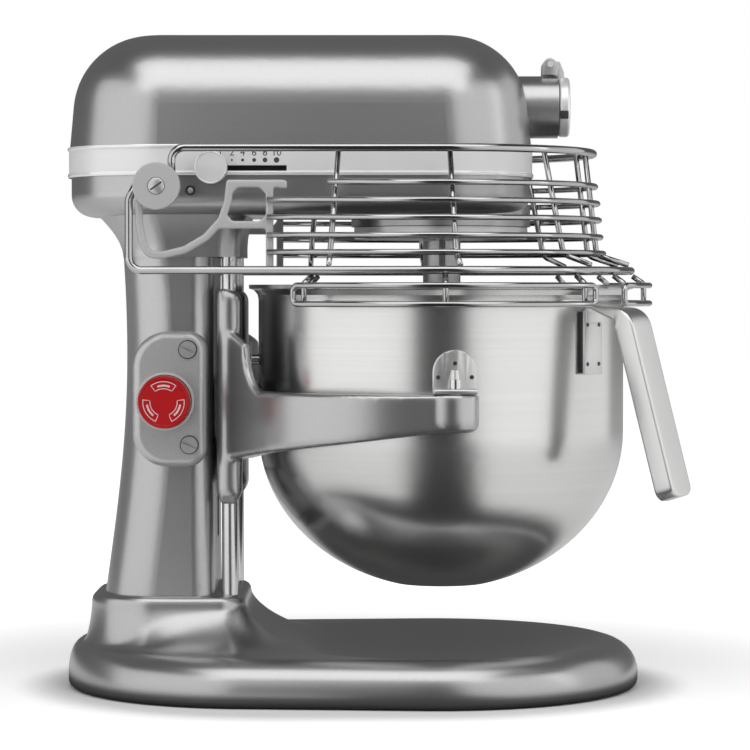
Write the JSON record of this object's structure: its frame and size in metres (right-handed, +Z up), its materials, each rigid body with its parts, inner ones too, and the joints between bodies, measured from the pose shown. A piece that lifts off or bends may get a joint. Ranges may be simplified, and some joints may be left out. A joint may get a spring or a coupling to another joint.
{
  "type": "stand mixer",
  "caption": "Bowl-lift stand mixer with a hinged wire bowl guard, stop button, accessory hub and a steel bowl carried on a lifting yoke.",
  "frame": {"origin": "on the worktop under the middle of the base, on the middle foot's face", "axes": "+X towards the mixer's front, +Z up, speed control on the -Y side"},
  "size_m": [0.3967, 0.284, 0.4197],
  "materials": {
    "grey_paint": "satin",
    "trim_satin": "satin",
    "hub_chrome": "polished",
    "guard_chrome": "polished",
    "guard_grey": "satin",
    "stainless": "satin",
    "bright_steel": "satin",
    "gear_steel": "satin",
    "carrier_alloy": "satin",
    "beater_alloy": "satin",
    "bush_bronze": "satin",
    "motor_iron": "matte",
    "black_plastic": "matte",
    "board": "satin",
    "red_plastic": "gloss",
    "pale_plastic": "satin",
    "black_rubber": "matte"
  },
  "bodies": {
    "stand": {"base_casting": "grey_paint", "rubber_feet": "black_rubber", "column_casting": "grey_paint", "column_bolts": "bright_steel", "cord_gland": "black_plastic", "head_lower_housing": "grey_paint", "trim_band": "trim_satin", "head_top_cover": "grey_paint", "hub_hinge_pin": "hub_chrome", "hub_bush": "bush_bronze", "centre_bearings": "bush_bronze", "motor_stator": "motor_iron", "motor_bearings": "gear_steel", "gearbox_frame": "carrier_alloy", "control_board": "board", "stop_housing": "grey_paint", "stop_collar": "pale_plastic", "stop_housing_screws": "bright_steel", "ring_gear": "gear_steel", "lift_rails": "bright_steel", "guard_pivot_studs": "guard_grey", "guard_pivot_caps": "guard_grey"},
    "planetary": {"planetary_carrier": "carrier_alloy", "planetary_trim_ring": "hub_chrome", "centre_shaft": "gear_steel", "bevel_gear": "gear_steel"},
    "beater": {"beater_shaft": "gear_steel", "planet_pinion": "gear_steel", "beater_drive_pin": "gear_steel", "flat_beater": "beater_alloy"},
    "layshaft": {"layshaft": "gear_steel", "layshaft_bevel_pinion": "gear_steel", "reduction_gear": "gear_steel"},
    "motor_armature": {"motor_shaft": "gear_steel", "motor_pinion": "gear_steel", "motor_rotor": "motor_iron", "motor_fan": "black_plastic"},
    "hub_drive": {"hub_spindle": "gear_steel", "hub_bevel_pinion": "gear_steel"},
    "hub_cover": {"hub_cover": "hub_chrome"},
    "attachment_knob": {"attachment_knob": "hub_chrome"},
    "speed_lever": {"speed_slider": "black_plastic", "speed_knob": "trim_satin"},
    "stop_plunger": {"stop_stem": "black_plastic"},
    "stop_cap": {"stop_cap": "red_plastic"},
    "bowl_carriage": {"yoke": "grey_paint", "yoke_pins": "bright_steel", "bowl": "stainless", "bowl_ears": "stainless", "bowl_handle": "stainless", "bowl_latch": "stainless"},
    "lift_handle": {"lift_shaft": "bright_steel", "lift_lever": "bright_steel"},
    "guard": {"guard_frame_wire": "guard_chrome", "guard_rings": "guard_chrome", "guard_uprights": "guard_chrome", "guard_skirt": "guard_chrome", "guard_bracket_near": "guard_grey", "guard_bracket_far": "guard_grey"}
  },
  "joints": [
    {"name": "planetary_spin", "type": "hinge", "parent": "stand", "child": "planetary", "pos_m": [0.057, 0, 0.3], "axis": [0, 0, 1], "continuous": true},
    {"name": "beater_spin", "type": "hinge", "parent": "planetary", "child": "beater", "pos_m": [0.057, -0.028, 0.3], "axis": [0, 0, 1], "continuous": true},
    {"name": "layshaft_spin", "type": "hinge", "parent": "stand", "child": "layshaft", "pos_m": [0, 0, 0.3744], "axis": [1, 0, 0], "continuous": true},
    {"name": "motor_spin", "type": "hinge", "parent": "stand", "child": "motor_armature", "pos_m": [0, 0, 0.3504], "axis": [1, 0, 0], "continuous": true},
    {"name": "hub_spin", "type": "hinge", "parent": "stand", "child": "hub_drive", "pos_m": [0, 0, 0.3744], "axis": [1, 0, 0], "continuous": true},
    {"name": "hub_cover_open", "type": "hinge", "parent": "stand", "child": "hub_cover", "pos_m": [0.1274, 0, 0.4017], "axis": [0, -1, 0], "range_deg": [0, 120]},
    {"name": "attachment_knob_turn", "type": "hinge", "parent": "stand", "child": "attachment_knob", "pos_m": [0.124, 0, 0.3744], "axis": [0, 1, 0], "range_deg": [0, 720]},
    {"name": "speed_slide", "type": "slide", "parent": "stand", "child": "speed_lever", "axis": [1, 0, 0], "range_m": [0, 0.043]},
    {"name": "stop_push", "type": "slide", "parent": "stand", "child": "stop_plunger", "axis": [0, 1, 0], "range_m": [0, 0.005], "stiffness_N_per_m": 900},
    {"name": "stop_twist", "type": "hinge", "parent": "stop_plunger", "child": "stop_cap", "pos_m": [-0.1172, -0.07, 0.1863], "axis": [0, 1, 0], "range_deg": [0, 45], "stiffness_Nm_per_rad": 0.1},
    {"name": "bowl_lift", "type": "slide", "parent": "stand", "child": "bowl_carriage", "axis": [0, 0, -1], "range_m": [0, 0.042]},
    {"name": "lift_lever_turn", "type": "hinge", "parent": "stand", "child": "lift_handle", "pos_m": [-0.125, 0, 0.129], "axis": [0, 1, 0], "range_deg": [0, 90]},
    {"name": "guard_tilt", "type": "hinge", "parent": "stand", "child": "guard", "pos_m": [-0.12, 0, 0.32], "axis": [0, -1, 0], "range_deg": [0, 65]}
  ],
  "couplings": [
    {"joint": "beater_spin", "follows": "planetary_spin", "ratio": -3},
    {"joint": "layshaft_spin", "follows": "planetary_spin", "ratio": -4},
    {"joint": "motor_spin", "follows": "planetary_spin", "ratio": 12},
    {"joint": "hub_spin", "follows": "planetary_spin", "ratio": 4},
    {"joint": "lift_lever_turn", "follows": "bowl_lift", "rad_per_m": 37.4}
  ]
}
